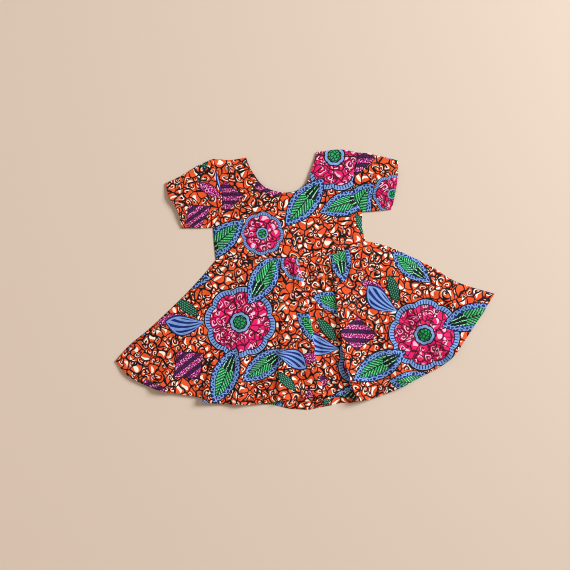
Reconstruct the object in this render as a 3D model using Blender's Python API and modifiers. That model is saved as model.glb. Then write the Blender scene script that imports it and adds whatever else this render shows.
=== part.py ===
"""A toddler's wax-print dress laid flat: bodice, two short sleeves and a half-circle skirt.

Metres, +Z up. The table is the plane z = 0, the middle of the dress's box is the origin, the centre
line runs along +Y towards the neck, and left and right are as one looks down on the dress.
The tables of edges, stations and folds are in millimetres and in shares from 0 to 1.
"""
import bisect
import math
from collections import namedtuple

import bmesh
import bpy
from mathutils import Vector

MM = 0.001

# Cloth and layers
CLOTH = 1.0 * MM                        # wall of each cut piece
GAP = 0.3 * MM                          # clear space between layers that touch
SEAM_GAP = 0.35 * MM                    # clear space between pieces that are sewn edge to edge
FOLD_RADIUS = 1.3 * MM                  # outside of a tube that is pressed flat
FRONT_LEVEL = CLOTH + GAP               # underside of a front panel where it lies on the back

# How far the front stands off the back, past the gap
BODICE_LOFT = 2.4 * MM
WAIST_LOFT = 1.6 * MM
SKIRT_LOFT = 1.8 * MM
SLEEVE_LOFT = 2.4 * MM
SIDE_SLOPE = 40 * MM                    # how far in from a side seam a front panel is fully lofted
SLEEVE_SLOPE = 30 * MM
BACK_NECK_DROP = 1.5 * MM               # the back neckline lies hidden under the front one

# Grid of each panel
BODICE_COLUMNS = 24
SHOULDER_COLUMNS = 5                    # columns under each shoulder seam, the rest under the neck
BODICE_ROWS = 14
SIDE_ROWS = 4                           # rows beside each side seam, the rest beside the armhole
SKIRT_FRONT_ROWS = 14
SKIRT_BACK_COLUMNS = 36
SKIRT_BACK_ROWS = 8
SLEEVE_ROWS = 6
FOLD_STEPS = 4                          # steps round each folded edge of a sleeve

# Finish of the printed cotton
COTTON = {"colour": (0.74, 0.10, 0.018, 1.0), "roughness": 0.78}

Edge = namedtuple("Edge", "start through end")
Station = namedtuple("Station", "name hem_share waist_share bend columns")
Fold = namedtuple("Fold", "name hem_share start rise_top rise_hem crease steep_top steep_hem gentle lean")
Gather = namedtuple("Gather", "waist_share half_width rise reach")
HemDrop = namedtuple("HemDrop", "hem_share drop")

# Corners where seams meet, in millimetres on the table
CORNERS = {
    "neck_left": (-74, 230),
    "neck_right": (54, 227),
    "shoulder_left": (-133, 234),
    "shoulder_right": (128, 218),
    "underarm_left": (-146, 111),
    "underarm_right": (124, 111),
    "waist_left": (-147, 53),
    "waist_right": (124, 59),
    "cuff_left_top": (-222, 200),
    "cuff_left_under": (-201, 116),
    "cuff_right_top": (197, 197),
    "cuff_right_under": (177, 110),
    "hem_left": (-345, -109),
    "hem_right": (345, -60),
}

# Edges of the cut pieces: from a corner, through points in millimetres, to a corner
EDGES = {
    "shoulder_left": Edge("shoulder_left", ((-102, 229),), "neck_left"),
    "neck": Edge("neck_left", ((-67, 208), (-50, 178), (-24, 163), (5, 160), (28, 171), (43, 199)), "neck_right"),
    "shoulder_right": Edge("neck_right", ((96, 227),), "shoulder_right"),
    "side_left": Edge("waist_left", ((-147, 80),), "underarm_left"),
    "armhole_left": Edge("underarm_left", ((-127, 142), (-125, 180)), "shoulder_left"),
    "side_right": Edge("waist_right", ((121, 85),), "underarm_right"),
    "armhole_right": Edge("underarm_right", ((112, 138), (114, 176)), "shoulder_right"),
    "waist": Edge("waist_left", ((-86, 48), (-14, 43), (49, 40), (95, 48)), "waist_right"),
    "sleeve_top_left": Edge("shoulder_left", ((-163, 224), (-195, 209)), "cuff_left_top"),
    "cuff_left": Edge("cuff_left_top", ((-219, 174), (-206, 148)), "cuff_left_under"),
    "sleeve_under_left": Edge("underarm_left", ((-173, 113),), "cuff_left_under"),
    "sleeve_top_right": Edge("shoulder_right", ((147, 214),), "cuff_right_top"),
    "cuff_right": Edge("cuff_right_top", ((193, 165), (186, 138)), "cuff_right_under"),
    "sleeve_under_right": Edge("underarm_right", ((150, 110),), "cuff_right_under"),
    "skirt_left": Edge("waist_left", ((-179, 22), (-219, -12), (-278, -57), (-318, -84)), "hem_left"),
    "skirt_right": Edge("waist_right", ((167, 43), (235, 2), (269, -25), (303, -43)), "hem_right"),
    "hem": Edge(
        "hem_left",
        ((-323, -140), (-271, -170), (-201, -190), (-190, -200), (-113, -212), (-22, -211), (41, -211),
         (88, -225), (140, -216), (197, -195), (250, -171), (290, -129)),
        "hem_right"),
}

# Lines of the skirt front that run from the waist to the hem. Bend is how far the line swings to
# the right midway, in millimetres, and columns are those of the grid up to the next line.
SKIRT_STATIONS = (
    Station("left side seam", 0.000, 0.000, 0, 6),
    Station("left drape", 0.126, 0.075, -3, 6),
    Station("left step", 0.234, 0.140, 3, 5),
    Station("left soft fold", 0.318, 0.230, -4, 7),
    Station("centre soft fold", 0.410, 0.430, 2, 9),
    Station("centre pleat crest", 0.498, 0.522, 0, 3),
    Station("centre pleat foot", 0.506, 0.534, 0, 15),
    Station("side pleat foot", 0.587, 0.748, -9, 3),
    Station("side pleat crest", 0.594, 0.763, -9, 9),
    Station("right soft fold", 0.700, 0.905, 4, 7),
    Station("right drape", 0.830, 0.965, -3, 7),
    Station("right side seam", 1.000, 1.000, 0, 0),
)

# Folds of the skirt front. Start is the share of the way down where the fold begins, rises and
# widths are in millimetres, crease is the steep side (-1 left, 1 right), steep_top and steep_hem
# are that side's width at the waist and the hem, and lean is how far the crest leans per rise.
SKIRT_FOLDS = (
    Fold("left drape", 0.126, 0.10, 0.5, 4.5, -1, 20, 26, 36, 0.3),
    Fold("left step", 0.234, 0.40, 0.0, 5.0, -1, 16, 8, 38, 0.7),
    Fold("left soft fold", 0.318, 0.02, 1.2, 3.6, 1, 12, 18, 30, 0.3),
    Fold("centre soft fold", 0.410, 0.02, 1.5, 5.0, -1, 9, 15, 26, 0.4),
    Fold("centre pleat", 0.498, 0.00, 2.6, 4.6, 1, 4, 14, 26, 0.6),
    Fold("side pleat", 0.594, 0.00, 2.8, 8.5, -1, 4, 5, 30, 0.5),
    Fold("right soft fold", 0.700, 0.10, 1.0, 4.5, 1, 14, 22, 34, 0.3),
    Fold("right drape", 0.830, 0.15, 0.5, 5.5, -1, 18, 26, 40, 0.3),
    Fold("right edge fold", 0.945, 0.35, 0.0, 3.0, -1, 14, 18, 24, 0.2),
)

# Gathers sewn into the waist: half width and rise in millimetres, reach as a share of the way down
WAIST_GATHERS = (
    Gather(0.312, 6.5, 2.0, 0.22),
    Gather(0.372, 8.0, 3.1, 0.32),
    Gather(0.432, 7.0, 2.3, 0.20),
    Gather(0.495, 8.0, 3.3, 0.36),
    Gather(0.620, 7.0, 2.7, 0.24),
    Gather(0.674, 7.5, 3.4, 0.33),
    Gather(0.730, 7.5, 3.6, 0.42),
    Gather(0.850, 7.5, 2.6, 0.28),
)
GATHER_AT_SEAM = 0.45                   # share of a gather's rise that the seam itself keeps
GATHER_SWELL = 0.10                     # share of the way down where a gather is full

# Where the skirt's hem is centred
SKIRT_CENTRE = Vector((-21, 148)) * MM

# How much lower than the front hem the back hem lies, in millimetres
BACK_HEM_DROPS = (
    HemDrop(0.00, -1.5),
    HemDrop(0.34, -1.5),
    HemDrop(0.39, 4.0),
    HemDrop(0.43, 16.0),
    HemDrop(0.47, 22.0),
    HemDrop(0.52, 19.0),
    HemDrop(0.565, 10.0),
    HemDrop(0.60, -1.5),
    HemDrop(1.00, -1.5),
)


def smooth(value, low=0.0, high=1.0):
    """0 below low, 1 above high and an S curve between."""
    share = min(max((value - low) / (high - low), 0.0), 1.0)
    return share * share * (3 - 2 * share)


def mixed(value, rows):
    """Straight-line reading of rows of (value, reading)."""
    for (low, at_low), (high, at_high) in zip(rows, rows[1:]):
        if value <= high:
            return at_low + (at_high - at_low) * max(value - low, 0.0) / (high - low)
    return rows[-1][1]


class Line:
    """A smooth line on the table through an edge's points, read by its share of length."""

    STEPS = 12

    def __init__(self, edge, shift=(0.0, 0.0)):
        inner = [Vector(p) for p in edge.through]
        knots = [Vector(CORNERS[edge.start]), *inner, Vector(CORNERS[edge.end])]
        knots = [knot * MM + Vector(shift) for knot in knots]
        ends = [2 * knots[0] - knots[1], *knots, 2 * knots[-1] - knots[-2]]
        self.points = []
        for before, start, end, after in zip(ends, ends[1:], ends[2:], ends[3:]):
            for step in range(self.STEPS):
                t = step / self.STEPS
                bend = (end - before) * t
                bend += (2 * before - 5 * start + 4 * end - after) * t ** 2
                bend += (3 * start - before - 3 * end + after) * t ** 3
                self.points.append(start + bend / 2)
        self.points.append(knots[-1])
        self.reach = [0.0]
        for start, end in zip(self.points, self.points[1:]):
            self.reach.append(self.reach[-1] + (end - start).length)

    def __call__(self, share):
        goal = min(max(share, 0.0), 1.0) * self.reach[-1]
        k = min(max(bisect.bisect_left(self.reach, goal), 1), len(self.reach) - 1)
        part = (goal - self.reach[k - 1]) / (self.reach[k] - self.reach[k - 1])
        return self.points[k - 1].lerp(self.points[k], part)


def chained(*stretches):
    """One line out of (line, share where it ends) pairs."""
    def at(share):
        start = 0.0
        for line, end in stretches:
            if share <= end or end == stretches[-1][1]:
                return line((share - start) / (end - start))
            start = end
    return at


def patch(near, far, left, right):
    """Place on the table from two shares, between four edges that share their corners."""
    def place(across, along):
        edges = near(across) * (1 - along) + far(across) * along
        edges += left(along) * (1 - across) + right(along) * across
        corners = near(0) * (1 - across) * (1 - along) + near(1) * across * (1 - along)
        corners += far(0) * (1 - across) * along + far(1) * across * along
        return edges - corners
    return place


def off_sides(place, across, along, slope=SIDE_SLOPE):
    """0 at a panel's two side edges, 1 where it is clear of both."""
    point = place(across, along)
    nearest = min((point - place(0.0, along)).length, (point - place(1.0, along)).length)
    return smooth(nearest, 0.0, slope)


def bodice_place(neck_drop=0.0):
    """Table place of a bodice panel: across from left to right, along from the waist up."""
    shoulder = SHOULDER_COLUMNS / BODICE_COLUMNS
    side = SIDE_ROWS / BODICE_ROWS
    top = chained(
        (Line(EDGES["shoulder_left"]), shoulder),
        (Line(EDGES["neck"]), 1 - shoulder),
        (Line(EDGES["shoulder_right"]), 1.0))
    left = chained((Line(EDGES["side_left"]), side), (Line(EDGES["armhole_left"]), 1.0))
    right = chained((Line(EDGES["side_right"]), side), (Line(EDGES["armhole_right"]), 1.0))
    place = patch(Line(EDGES["waist"]), top, left, right)

    def lowered(across, along):
        point = place(across, along)
        scoop = smooth(across, shoulder, 0.5) * smooth(1 - across, shoulder, 0.5)
        return point - Vector((0.0, neck_drop * scoop * smooth(along, 0.6, 1.0)))
    return lowered


def bodice_loft(place, across, along):
    """How far the bodice front stands off the back."""
    shoulder = SHOULDER_COLUMNS / BODICE_COLUMNS
    in_neck = smooth(across, shoulder * 0.8, 0.4) * smooth(1 - across, shoulder * 0.8, 0.4)
    at_top = smooth(along, 0.65, 1.0)
    full = WAIST_LOFT + (BODICE_LOFT - WAIST_LOFT) * smooth(along, 0.0, 0.4)
    return full * off_sides(place, across, along) * (1 - at_top * (1 - 0.8 * in_neck))


def skirt_place(waist_shares, bends=(), drops=()):
    """Table place of a skirt panel: across from left to right, along from the waist to the hem."""
    waist = Line(EDGES["waist"], shift=(0.0, -SEAM_GAP))
    hem = Line(EDGES["hem"])
    left = Line(EDGES["skirt_left"])
    right = Line(EDGES["skirt_right"])

    def waist_at(across):
        return waist(mixed(across, waist_shares))

    def from_waist(line, corner):
        """A side edge that starts at the shifted waist."""
        return lambda along: line(along) + (corner - line(0)) * (1 - along)

    def hem_at(across):
        point = hem(across)
        if not drops:
            return point
        return point + (point - SKIRT_CENTRE).normalized() * mixed(across, drops) * MM

    def hem_side(line, corner):
        return lambda along: line(along) + (corner - line(1)) * along

    sides = []
    for line, across in ((left, 0.0), (right, 1.0)):
        sides.append(hem_side(from_waist(line, waist_at(across)), hem_at(across)))
    flat = patch(waist_at, hem_at, *sides)

    def place(across, along):
        swing = mixed(across, bends) * MM * math.sin(math.pi * along) if bends else 0.0
        return flat(across, along) + Vector((swing, 0.0))
    return place


def fold_rise(fold, offset, along):
    """Height of one fold at a distance from its crest."""
    if along <= fold.start:
        height = fold.rise_top * smooth(along, -0.05, fold.start) if fold.start > 0 else fold.rise_top
    else:
        height = fold.rise_top + (fold.rise_hem - fold.rise_top) * smooth(along, fold.start, 1.0)
    on_crease = offset * fold.crease > 0
    steep = fold.steep_top + (fold.steep_hem - fold.steep_top) * along
    width = (steep if on_crease else fold.gentle) * MM
    off = min(abs(offset) / width, 1.0)
    return height * MM * (1 + math.cos(math.pi * off)) / 2


def gather_rise(waist_share, along, waist_length):
    """Height of the gathers that hang from the waist seam."""
    rise = 0.0
    for gather in WAIST_GATHERS:
        off = abs(waist_share - gather.waist_share) * waist_length / (gather.half_width * MM)
        if off < 1:
            swell = GATHER_AT_SEAM + (1 - GATHER_AT_SEAM) * smooth(along, 0.0, GATHER_SWELL)
            fade = 1 - smooth(along, GATHER_SWELL, gather.reach)
            rise += gather.rise * MM * swell * fade * (1 + math.cos(math.pi * off)) / 2
    return rise


def skirt_front_point():
    """Function for a point on the underside of the skirt front."""
    shares = [(station.hem_share, station.waist_share) for station in SKIRT_STATIONS]
    place = skirt_place(shares, [(station.hem_share, station.bend) for station in SKIRT_STATIONS])
    waist_length = Line(EDGES["waist"]).reach[-1]
    step = 0.004

    def at(across, along):
        point = place(across, along)
        sideways = (place(across + step, along) - place(across - step, along)).normalized()
        rise = 0.0
        lean = 0.0
        for fold in SKIRT_FOLDS:
            crest = place(fold.hem_share, along)
            offset = math.copysign((point - crest).length, across - fold.hem_share)
            height = fold_rise(fold, offset, along)
            rise += height
            lean += height * fold.lean * fold.crease
        loft = WAIST_LOFT + (SKIRT_LOFT - WAIST_LOFT) * smooth(along, 0.0, 0.5)
        at_sides = off_sides(place, across, along)
        rise = (rise + loft) * at_sides
        rise += gather_rise(mixed(across, shares), along, waist_length)
        leaned = point + sideways * lean * at_sides * smooth(along, 0.0, 0.12)
        return (*leaned, FRONT_LEVEL + rise)
    return at


def column_shares(stations):
    """The share of the hem at each grid column."""
    shares = []
    for station, after in zip(stations, stations[1:]):
        for step in range(station.columns):
            share = station.hem_share + (after.hem_share - station.hem_share) * step / station.columns
            shares.append(share)
    return shares + [1.0]


def add_object(name, bm, group):
    """A named object with its own cloth material, out of a bmesh."""
    mesh = bpy.data.meshes.new(name)
    bm.to_mesh(mesh)
    bm.free()
    mesh.shade_smooth()
    material = bpy.data.materials.new(f"{name}_cotton")
    material.use_nodes = True
    shader = material.node_tree.nodes["Principled BSDF"]
    shader.inputs["Base Color"].default_value = COTTON["colour"]
    shader.inputs["Roughness"].default_value = COTTON["roughness"]
    shader.inputs["Metallic"].default_value = 0.0
    mesh.materials.append(material)
    obj = bpy.data.objects.new(name, mesh)
    group.objects.link(obj)
    return obj


def give_thickness(obj, side):
    """The cloth's wall, to the outside (1) or the inside (-1) of the modelled surface."""
    wall = obj.modifiers.new("Cloth", "SOLIDIFY")
    wall.thickness = CLOTH
    wall.offset = side
    wall.use_even_offset = True


def grid_panel(name, columns, rows, point_at, group):
    """A cut piece from point_at(column share, row share), which gives its underside."""
    bm = bmesh.new()
    bmesh.ops.create_grid(bm, x_segments=columns, y_segments=rows, size=0.5)
    for vert in bm.verts:
        vert.co = point_at(vert.co.x + 0.5, vert.co.y + 0.5)
    bm.normal_update()
    if sum(face.normal.z for face in bm.faces) < 0:
        bmesh.ops.reverse_faces(bm, faces=bm.faces)
    obj = add_object(name, bm, group)
    give_thickness(obj, 1)
    return obj


def bodice_front(group):
    place = bodice_place()

    def point_at(across, along):
        return (*place(across, along), FRONT_LEVEL + bodice_loft(place, across, along))
    return grid_panel("bodice_front", BODICE_COLUMNS, BODICE_ROWS, point_at, group)


def bodice_back(group):
    place = bodice_place(BACK_NECK_DROP)
    return grid_panel("bodice_back", BODICE_COLUMNS, BODICE_ROWS, lambda a, b: (*place(a, b), 0.0), group)


def skirt_front(group):
    shares = column_shares(SKIRT_STATIONS)
    columns = len(shares) - 1
    surface = skirt_front_point()
    return grid_panel("skirt_front", columns, SKIRT_FRONT_ROWS,
                      lambda a, b: surface(shares[round(a * columns)], b), group)


def skirt_back(group):
    place = skirt_place(((0.0, 0.0), (1.0, 1.0)), drops=BACK_HEM_DROPS)
    return grid_panel("skirt_back", SKIRT_BACK_COLUMNS, SKIRT_BACK_ROWS, lambda a, b: (*place(a, b), 0.0), group)


def sleeve_section(steps):
    """Round a flattened tube: (share across, rounding across, height in fold radii, is front)."""
    section = [(k / steps, 0.0, 2.0, 1) for k in range(steps + 1)]
    for k in range(1, FOLD_STEPS):
        angle = math.pi * k / FOLD_STEPS
        section.append((1.0, math.sin(angle), 1 + math.cos(angle), 0))
    section += [(1 - k / steps, 0.0, 0.0, 0) for k in range(steps + 1)]
    for k in range(1, FOLD_STEPS):
        angle = math.pi * k / FOLD_STEPS
        section.append((0.0, -math.sin(angle), 1 - math.cos(angle), 0))
    return section + section[:1]


def sleeve(side, group):
    """A short sleeve, sewn to a tube and lying flat: along runs from the armhole to the cuff."""
    out = -1 if side == "left" else 1
    shift = (out * SEAM_GAP, 0.0)
    armhole = Line(EDGES[f"armhole_{side}"], shift)
    top = Line(EDGES[f"sleeve_top_{side}"])
    under = Line(EDGES[f"sleeve_under_{side}"])
    cuff = Line(EDGES[f"cuff_{side}"])

    def shifted(line):
        return lambda along: line(along) + Vector(shift) * (1 - along)

    place = patch(lambda share: armhole(1 - share), cuff, shifted(top), shifted(under))
    steps = BODICE_ROWS - SIDE_ROWS
    section = sleeve_section(steps)
    bm = bmesh.new()
    bmesh.ops.create_grid(bm, x_segments=len(section) - 1, y_segments=SLEEVE_ROWS, size=0.5)
    for vert in bm.verts:
        across, rounding, level, is_front = section[round((vert.co.x + 0.5) * (len(section) - 1))]
        along = vert.co.y + 0.5
        width = (place(0, along) - place(1, along)).length
        inset = FOLD_RADIUS / width
        share = inset + (1 - 2 * inset) * across + rounding * inset
        loft = SLEEVE_LOFT * off_sides(place, share, along, SLEEVE_SLOPE) * smooth(along, 0.0, 0.8)
        vert.co = (*place(share, along), level * FOLD_RADIUS + is_front * loft)
    bmesh.ops.remove_doubles(bm, verts=bm.verts, dist=0.01 * MM)
    bmesh.ops.recalc_face_normals(bm, faces=bm.faces)
    obj = add_object(f"sleeve_{side}", bm, group)
    give_thickness(obj, -1)
    return obj


def main():
    for obj in list(bpy.data.objects):
        bpy.data.objects.remove(obj)
    group = bpy.data.collections.new("wax_print_dress")
    bpy.context.scene.collection.children.link(group)
    bodice_front(group)
    bodice_back(group)
    sleeve("left", group)
    sleeve("right", group)
    skirt_front(group)
    skirt_back(group)


main()
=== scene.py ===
"""Looks of a toddler's wax-print dress laid flat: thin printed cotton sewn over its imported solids.

Metres, +Z up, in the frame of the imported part. The tables of edges, stations, folds and creases are
in millimetres, in degrees and in shares from 0 to 1, and left and right are as one looks down.
"""

import bisect
import functools
import math
from collections import namedtuple

import bmesh
import bpy
from mathutils import Matrix, Vector, noise


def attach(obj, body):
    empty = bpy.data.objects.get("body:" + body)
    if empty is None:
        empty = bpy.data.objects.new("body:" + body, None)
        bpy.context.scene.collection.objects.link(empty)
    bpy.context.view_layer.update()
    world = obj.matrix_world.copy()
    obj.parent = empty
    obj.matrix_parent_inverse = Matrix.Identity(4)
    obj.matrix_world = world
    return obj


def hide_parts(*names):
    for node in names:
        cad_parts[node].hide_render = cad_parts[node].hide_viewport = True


bl_info = {
    "name": "Wax-print dress, laid flat",
    "version": (1, 0, 0),
    "blender": (4, 5, 0),
    "location": "View3D > Sidebar > Dress",
    "description": "Sews a toddler's wax-print cotton dress, lays it on a pale floor and lights it",
    "category": "Add Mesh",
}

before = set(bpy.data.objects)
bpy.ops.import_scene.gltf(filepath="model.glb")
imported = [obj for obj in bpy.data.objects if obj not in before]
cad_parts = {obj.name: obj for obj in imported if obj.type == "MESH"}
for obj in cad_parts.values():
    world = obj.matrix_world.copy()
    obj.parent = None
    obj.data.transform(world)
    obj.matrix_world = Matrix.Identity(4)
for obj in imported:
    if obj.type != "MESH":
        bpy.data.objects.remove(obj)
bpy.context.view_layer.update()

MM = 0.001

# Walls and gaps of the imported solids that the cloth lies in
WALL = 1.0 * MM
GAP = 0.3 * MM
SEAM_GAP = 0.35 * MM
FOLD_RADIUS = 1.3 * MM
FRONT_LEVEL = WALL + GAP
BODICE_LOFT = 2.4 * MM
WAIST_LOFT = 1.6 * MM
SKIRT_LOFT = 1.8 * MM
SLEEVE_LOFT = 2.4 * MM
SIDE_SLOPE = 40 * MM
SLEEVE_SLOPE = 30 * MM
BACK_NECK_DROP = 1.5 * MM

# Shares of a bodice panel's edges
SHOULDER_SHARE = 5 / 24                 # of the top edge, on each side of the neck
SIDE_SHARE = 4 / 14                     # of a side edge, below the armhole

# Grid of each panel
BODICE_COLUMNS = 120
BODICE_ROWS = 70
SKIRT_DENSITY = 4                       # columns for each column that SKIRT_STATIONS names
SKIRT_FRONT_ROWS = 84
SKIRT_BACK_COLUMNS = 216
SKIRT_BACK_ROWS = 72
SLEEVE_STEPS = 48
SLEEVE_ROWS = 36
FOLD_STEPS = 6

# How the cloth meets at its seams
SEAM_CLOSE = 9 * MM                     # how far in from a side seam the front comes down to the back
CLOSED_LEVEL = 0.68 * MM                # middle of the front's cloth where it meets the back
GROOVE_WIDTH = 2.2 * MM
GROOVE_DEPTH = 0.45 * MM
WAIST_PINCH = 7 * MM                    # how far below the waist seam its folds are still pressed down
PINCHED = 0.2                           # share of their height that is left at the seam
NECK_CORNER = (3 * MM, 18 * MM)         # reach in which the front stays open at the neck's corners
ARMHOLE_DIP = 0.25 * MM
ARMHOLE_DIP_WIDTH = 10 * MM
SLEEVE_FOLD = 9 * MM                    # how far in from a sleeve's folds its creases start
RIPPLE_LENGTH = 34 * MM

Edge = namedtuple("Edge", "start through end")
Station = namedtuple("Station", "name hem_share waist_share bend columns")
Fold = namedtuple("Fold", "name hem_share start rise_top rise_hem crease steep_top steep_hem gentle lean")
Gather = namedtuple("Gather", "waist_share half_width rise reach")
HemDrop = namedtuple("HemDrop", "hem_share drop")
Crease = namedtuple("Crease", "x y turn length half_width height bow")
HemRow = namedtuple("HemRow", "inward drop")
Cut = namedtuple("Cut", "width length filled")
Ring = namedtuple("Ring", "along size sink")
Lamp = namedtuple("Lamp", "name kind place size power colour")
Lay = namedtuple("Lay", "turn x y")
Spot = namedtuple("Spot", "x y turn size tone", defaults=(1.0, 0.0))

# Corners where seams meet, in millimetres on the table
CORNERS = {
    "neck_left": (-74, 230),
    "neck_right": (54, 227),
    "shoulder_left": (-133, 234),
    "shoulder_right": (128, 218),
    "underarm_left": (-146, 111),
    "underarm_right": (124, 111),
    "waist_left": (-147, 53),
    "waist_right": (124, 59),
    "cuff_left_top": (-222, 200),
    "cuff_left_under": (-201, 116),
    "cuff_right_top": (197, 197),
    "cuff_right_under": (177, 110),
    "hem_left": (-345, -109),
    "hem_right": (345, -60),
}

# Edges of the cut pieces: from a corner, through points in millimetres, to a corner
EDGES = {
    "shoulder_left": Edge("shoulder_left", ((-102, 229),), "neck_left"),
    "neck": Edge(
        "neck_left", ((-67, 208), (-50, 178), (-24, 163), (5, 160), (28, 171), (43, 199)), "neck_right"),
    "shoulder_right": Edge("neck_right", ((96, 227),), "shoulder_right"),
    "side_left": Edge("waist_left", ((-147, 80),), "underarm_left"),
    "armhole_left": Edge("underarm_left", ((-127, 142), (-125, 180)), "shoulder_left"),
    "side_right": Edge("waist_right", ((121, 85),), "underarm_right"),
    "armhole_right": Edge("underarm_right", ((112, 138), (114, 176)), "shoulder_right"),
    "waist": Edge("waist_left", ((-86, 48), (-14, 43), (49, 40), (95, 48)), "waist_right"),
    "sleeve_top_left": Edge("shoulder_left", ((-163, 224), (-195, 209)), "cuff_left_top"),
    "cuff_left": Edge("cuff_left_top", ((-219, 174), (-206, 148)), "cuff_left_under"),
    "sleeve_under_left": Edge("underarm_left", ((-173, 113),), "cuff_left_under"),
    "sleeve_top_right": Edge("shoulder_right", ((147, 214),), "cuff_right_top"),
    "cuff_right": Edge("cuff_right_top", ((193, 165), (186, 138)), "cuff_right_under"),
    "sleeve_under_right": Edge("underarm_right", ((150, 110),), "cuff_right_under"),
    "skirt_left": Edge("waist_left", ((-179, 22), (-219, -12), (-278, -57), (-318, -84)), "hem_left"),
    "skirt_right": Edge("waist_right", ((167, 43), (235, 2), (269, -25), (303, -43)), "hem_right"),
    "hem": Edge(
        "hem_left",
        ((-323, -140), (-271, -170), (-201, -190), (-190, -200), (-113, -212), (-22, -211), (41, -211),
         (88, -225), (140, -216), (197, -195), (250, -171), (290, -129)),
        "hem_right"),
}

# Lines of the skirt front from the waist to the hem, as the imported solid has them
SKIRT_STATIONS = (
    Station("left side seam", 0.000, 0.000, 0, 6),
    Station("left drape", 0.126, 0.075, -3, 6),
    Station("left step", 0.234, 0.140, 3, 5),
    Station("left soft fold", 0.318, 0.230, -4, 7),
    Station("centre soft fold", 0.410, 0.430, 2, 9),
    Station("centre pleat crest", 0.498, 0.522, 0, 3),
    Station("centre pleat foot", 0.506, 0.534, 0, 15),
    Station("side pleat foot", 0.587, 0.748, -9, 3),
    Station("side pleat crest", 0.594, 0.763, -9, 9),
    Station("right soft fold", 0.700, 0.905, 4, 7),
    Station("right drape", 0.830, 0.965, -3, 7),
    Station("right side seam", 1.000, 1.000, 0, 0),
)

# Folds of the skirt front. Start is the share of the way down where the fold begins, rises and
# widths are in millimetres, crease is the steep side (-1 left, 1 right), steep_top and steep_hem
# are that side's width at the waist and the hem, and lean is how far the crest leans per rise.
SKIRT_FOLDS = (
    Fold("left drape", 0.126, 0.10, 0.5, 4.5, -1, 20, 26, 36, 0.3),
    Fold("left step", 0.234, 0.40, 0.0, 5.0, -1, 16, 8, 38, 0.8),
    Fold("left soft fold", 0.318, 0.02, 1.2, 3.6, 1, 12, 18, 30, 0.3),
    Fold("centre soft fold", 0.410, 0.02, 1.5, 5.0, -1, 9, 15, 26, 0.4),
    Fold("centre pleat", 0.498, 0.00, 2.6, 4.6, 1, 4, 14, 26, 0.8),
    Fold("side pleat", 0.594, 0.00, 2.8, 8.5, -1, 4, 5, 30, 0.8),
    Fold("right soft fold", 0.700, 0.10, 1.0, 4.5, 1, 14, 22, 34, 0.3),
    Fold("right drape", 0.830, 0.15, 0.5, 5.5, -1, 18, 26, 40, 0.3),
    Fold("right edge fold", 0.945, 0.35, 0.0, 3.0, -1, 14, 18, 24, 0.2),
)

# Gathers sewn into the waist: half width and rise in millimetres, reach as a share of the way down
WAIST_GATHERS = (
    Gather(0.312, 6.5, 2.0, 0.22),
    Gather(0.372, 8.0, 3.1, 0.32),
    Gather(0.432, 7.0, 2.3, 0.20),
    Gather(0.495, 8.0, 3.3, 0.36),
    Gather(0.620, 7.0, 2.7, 0.24),
    Gather(0.674, 7.5, 3.4, 0.33),
    Gather(0.730, 7.5, 3.6, 0.42),
    Gather(0.850, 7.5, 2.6, 0.28),
)
GATHER_SWELL = 0.08                     # share of the way down where a gather is full

# Where the skirt's hem is centred
SKIRT_CENTRE = Vector((-21, 148)) * MM

# How much lower than the front hem the back hem lies, in millimetres
BACK_HEM_DROPS = (
    HemDrop(0.00, -1.5),
    HemDrop(0.34, -1.5),
    HemDrop(0.39, 4.0),
    HemDrop(0.43, 16.0),
    HemDrop(0.47, 22.0),
    HemDrop(0.52, 19.0),
    HemDrop(0.565, 10.0),
    HemDrop(0.60, -1.5),
    HemDrop(1.00, -1.5),
)

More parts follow.
